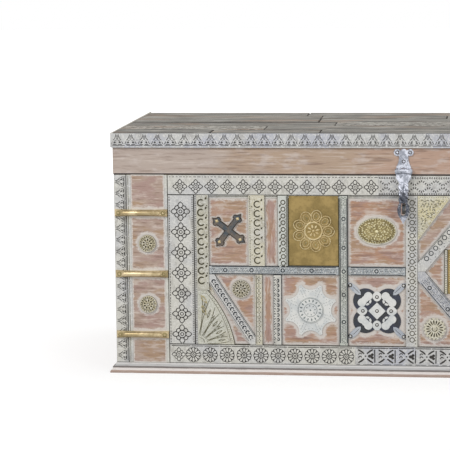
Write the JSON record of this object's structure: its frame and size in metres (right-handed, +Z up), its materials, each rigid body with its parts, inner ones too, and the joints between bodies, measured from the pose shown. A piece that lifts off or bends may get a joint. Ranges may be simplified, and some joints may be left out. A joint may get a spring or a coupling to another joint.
{
  "type": "dowry chest",
  "caption": "Low wooden chest on a moulded plinth, with a hinged plank lid, swinging hasps and a front of carved strips, brass plates and iron ornaments.",
  "frame": {"origin": "middle of the underside, where the chest stands on the floor", "axes": "+X along the chest to the right of its front, +Y to its back, +Z up"},
  "size_m": [1.413, 0.4918, 0.46],
  "materials": {
    "aged_wood": "worn paint over brown wood",
    "whitewashed_wood": "whitewashed carved wood",
    "weathered_lid": "weathered grey",
    "brass": "dulled sheet brass",
    "iron": "forged, dark",
    "white_metal": "white paint on sheet metal",
    "blackened_metal": "blackened sheet metal"
  },
  "bodies": {
    "chest_body": {"bottom_board": "aged_wood", "back_board": "aged_wood", "end_board_left": "aged_wood", "end_board_right": "aged_wood", "front_board": "aged_wood", "plinth_front": "aged_wood", "plinth_back": "aged_wood", "plinth_left": "aged_wood", "plinth_right": "aged_wood", "corner_strip_left": "whitewashed_wood", "corner_strip_right": "whitewashed_wood", "side_board_left": "aged_wood", "side_board_right": "aged_wood", "side_band_left": "whitewashed_wood", "side_band_right": "whitewashed_wood", "top_band": "whitewashed_wood", "bottom_band": "whitewashed_wood", "outer_ring_strips": "whitewashed_wood", "inner_ring_strips": "whitewashed_wood", "tall_strips": "blackened_metal", "green_strips": "whitewashed_wood", "cream_strips": "whitewashed_wood", "dark_strips": "blackened_metal", "rail_strips": "white_metal", "centre_strips": "whitewashed_wood", "diagonal_strips": "white_metal", "diamond_strips": "white_metal", "fan_panels": "whitewashed_wood", "corner_carvings": "whitewashed_wood", "flower_plates": "brass", "centre_plate": "brass", "oval_bosses": "brass", "stars": "white_metal", "iron_crosses": "iron", "fret_plates": "blackened_metal", "fret_scrolls": "white_metal", "side_rosettes": "aged_wood", "field_rosettes": "aged_wood", "brass_straps_left": "brass", "brass_straps_right": "brass", "box_hinge_leaves": "iron", "hinge_pins": "iron", "staple_left": "iron", "staple_right": "iron"},
    "lid": {"lid_rail_front": "aged_wood", "lid_rail_back": "aged_wood", "lid_rail_left": "aged_wood", "lid_rail_right": "aged_wood", "lid_planks": "weathered_lid", "lid_battens": "aged_wood", "cornice_front": "whitewashed_wood", "cornice_left": "whitewashed_wood", "cornice_right": "whitewashed_wood", "lid_hinge_leaves": "iron", "hasp_plate_left": "white_metal", "hasp_plate_right": "white_metal", "hasp_pin_left": "iron", "hasp_pin_right": "iron"},
    "hasp_left": {"hasp_strap_left": "iron"},
    "hasp_right": {"hasp_strap_right": "iron"}
  },
  "joints": [
    {"name": "lid_hinge", "type": "hinge", "parent": "chest_body", "child": "lid", "pos_m": [0, 0.2304, 0.38125], "axis": [-1, 0, 0], "range_deg": [0, 100]},
    {"name": "hasp_left_hinge", "type": "hinge", "parent": "lid", "child": "hasp_left", "pos_m": [-0.1463, -0.2314, 0.389], "axis": [-1, 0, 0], "range_deg": [-13.2, 150]},
    {"name": "hasp_right_hinge", "type": "hinge", "parent": "lid", "child": "hasp_right", "pos_m": [0.1463, -0.2314, 0.389], "axis": [-1, 0, 0], "range_deg": [-13.2, 150]}
  ]
}
